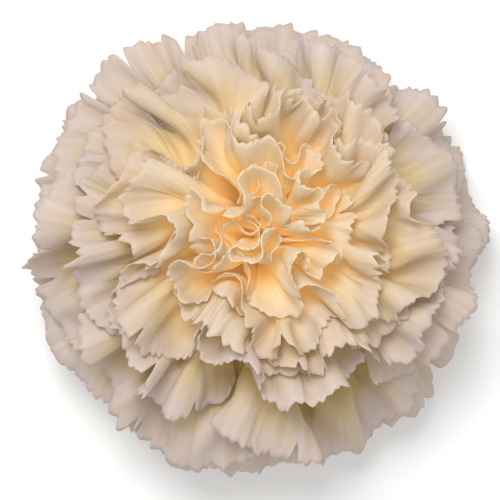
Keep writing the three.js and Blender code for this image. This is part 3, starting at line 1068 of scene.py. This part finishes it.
def petal_mesh(net, petal):
    """One petal's closed thin skin, from its grown net."""
    dice = np.random.default_rng(MARGIN_SEED + petal["count"])
    fine_across = np.linspace(0, COLUMNS - 1, FINE_COLUMNS)
    wide = spline_at(net.transpose(1, 0, 2), np.repeat(fine_across[:, None], ROWS, axis=1))
    wide = wide.transpose(1, 0, 2)
    margin = np.r_[0, np.cumsum(np.linalg.norm(np.diff(wide[-1], axis=0), axis=1))]
    slits = (1, 1, 1, 1, 2, 3, 3)[petal["whorl"]]
    tongues = (4, 4, 3, 2, 1, 0, 0)[petal["whorl"]]
    limb_length = np.linalg.norm(np.diff(net, axis=0), axis=-1)[CLAW_ROWS:].sum(axis=0).mean()
    reach = (margin_reach(dice, margin, slits, tongues) - 0.7) / limb_length * (ROWS - CLAW_ROWS)
    up = np.linspace(0, 1, FINE_ROWS)[:, None]
    places = CLAW_ROWS - 1 + (ROWS - CLAW_ROWS) * up + reach[None, :] * up**3
    fine = spline_at(wide, np.clip(places, 0, ROWS - 0.4))
    fine = np.concatenate([wide[:1], fine])
    up = np.r_[0, up[:, 0]]
    strength = 0.5 + 0.6 * petal["layer"]
    fine = fine + grid_normals(fine) * (strength * pleats(dice)[None, :] * up[:, None] ** 1.6)[..., None]
    under_table = np.maximum(TABLE_CLEARANCE - (fine @ lean[2] + cut_middle[2] / MM), 0)
    fine = fine + under_table[..., None] * lean[2]
    normal = grid_normals(fine)
    half = PETAL_THICKNESS / 2 * (1 - 0.55 * up**6)[:, None, None]
    shown = (fine + normal * half).reshape(-1, 3)
    hidden = (fine - normal * half).reshape(-1, 3)
    corners = np.concatenate([shown, hidden])
    rows, columns = fine.shape[:2]
    index = np.arange(rows * columns).reshape(rows, columns)
    face = np.stack([index[:-1, :-1], index[:-1, 1:], index[1:, 1:], index[1:, :-1]], axis=-1)
    face = face.reshape(-1, 4)
    rim = np.concatenate([index[0, :], index[1:, -1], index[-1, -2::-1], index[-2:0:-1, 0]])
    after = np.roll(rim, -1)
    back = rows * columns
    edge = np.stack([rim, rim + back, after + back, after], axis=-1)
    mesh = bpy.data.meshes.new(petal["name"] + "_ruffled")
    mesh.from_pydata(placed(corners), [], np.concatenate([face, face[:, ::-1] + back, edge]))
    mesh.update()
    from_axis = np.hypot(corners[:, 0], corners[:, 1])
    sunk = top_height(corners[:, 0], corners[:, 1]) - corners[:, 2]
    keep_values(
        mesh,
        {
            "along": np.tile(np.repeat(up, columns), 2),
            "sideways": np.tile(np.linspace(-1, 1, columns), 2 * rows),
            "outward": np.clip(from_axis / BLOOM_RADIUS, 0, 1),
            "sunk": np.clip(sunk / BLOOM_DEPTH, 0, 1),
        },
    )
    return mesh


def petal_paint(name, inner, outer, through, see_through, glow):
    """A thin petal: warmer in colour at its claw, pale at its toothed margin, with veins that fan out, and
    with painted shade and a painted glow deep in the bloom.

    inner and outer are the colours of claw, face and margin near the bloom's axis and at its
    outside, and through is the colour of the light that comes through it."""
    material, tree = new_paint(name)
    along = kept_value(tree, "along")
    sideways = kept_value(tree, "sideways")
    outward = kept_value(tree, "outward")
    sunk = kept_value(tree, "sunk")
    place = object_place(tree)
    vein_place = vector(tree, sideways * 26, along * 1.6, 0)
    veins = noise(tree, vein_place, 1.0, 3.0)
    fine_place = vector(tree, sideways * 90, along * 4, 3)
    fine = noise(tree, fine_place, 1.0, 2.0)
    patches = noise(tree, place, 130.0, 3.0)
    wander = (patches - 0.5) * 0.35 + (veins - 0.5) * 0.25
    out = (outward + (patches - 0.5) * 0.2).rise(0.15, 0.85)
    claw, face, margin = (blend(tree, out, near, far) for near, far in zip(inner, outer))
    colour = blend(tree, (along + wander).rise(0.1, 0.6), claw, face)
    colour = blend(tree, (along + wander).rise(0.64, 1.02), colour, margin)
    # Painted shade: deep in the bloom the colour turns to the darker claw colour, less so towards the
    # outside.
    depth = (sunk + (patches - 0.5) * 0.2).rise(0.2, 0.95) * (1 - outward.rise(0.75, 0.95))
    colour = blend(tree, depth * 0.95, colour, claw)
    streak = (veins * 0.6 + fine * 0.4).rise(0.3, 0.7)
    colour = blend(tree, 0.14 - streak * 0.14, colour, claw, "MULTIPLY")
    # A petal is thinnest just inside its rim; the grey that darkens it there is painted shade, for the
    # dark behind showing through the thin margin.
    rim_shade_band = (along + (fine - 0.5) * 0.1).rise(0.74, 1.0)
    colour = blend(tree, rim_shade_band * 0.5, colour, linear(226, 220, 220), "MULTIPLY")
    # Painted glow: an emission, strongest deep in the bloom and near its axis, stands in for the light
    # that has come down through the petals around and lights the depth of the bloom.
    deep = (sunk + wander * 0.5).rise(0.05, 0.5) * (1 - 0.35 * sunk.rise(0.5, 1.0))
    deep = deep * (1 - outward.rise(0.3, 0.8))
    painted_glow = blend(tree, deep * glow, (0, 0, 0, 1), linear(255, 222, 164))
    height = veins * 0.6 + fine * 0.4
    bump = raised(tree, height, 0.4, 0.0004)
    skin = add_node(
        tree,
        "ShaderNodeBsdfPrincipled",
        inputs={
            "Base Color": colour,
            "Roughness": 0.62 + (fine - 0.5) * 0.2,
            "Normal": bump,
            "Specular IOR Level": 0.25,
            "Sheen Weight": 0.15,
            "Sheen Roughness": 0.5,
            # The emission is painted glow, not a lamp.
            "Emission Color": painted_glow,
            "Emission Strength": 1.0,
        },
    )
    lit = add_node(tree, "ShaderNodeBsdfTranslucent", inputs={"Color": through})
    both = add_node(tree, "ShaderNodeMixShader", inputs={0: see_through, 1: skin, 2: lit})
    add_node(tree, "ShaderNodeOutputMaterial", inputs={0: both})
    return material


heart_colours = (linear(243, 212, 142), linear(251, 236, 192), linear(249, 241, 224))
middle_colours = (linear(222, 190, 112), linear(235, 214, 150), linear(233, 221, 211))
guard_colours = (linear(196, 168, 104), linear(220, 199, 148), linear(227, 217, 214))
petal_paints = {
    "heart_petals": petal_paint(
        "heart_petal_skin", heart_colours, middle_colours, linear(252, 236, 194), 0.45, 0.22
    ),
    "cream_petals": petal_paint(
        "cream_petal_skin", heart_colours, guard_colours, linear(244, 227, 184), 0.45, 0.2
    ),
    "pale_petals": petal_paint(
        "pale_petal_skin", middle_colours, guard_colours, linear(232, 218, 198), 0.4, 0.14
    ),
}
slot_by_whorl = ["heart_petals"] * 2 + ["cream_petals"] * 2 + ["pale_petals"] * 3
for net, petal in zip(nets, petals):
    slot = slot_by_whorl[petal["whorl"]]
    finished(petal_mesh(net, petal), petal["name"] + "_ruffled", petal["name"], petal_paints[slot])
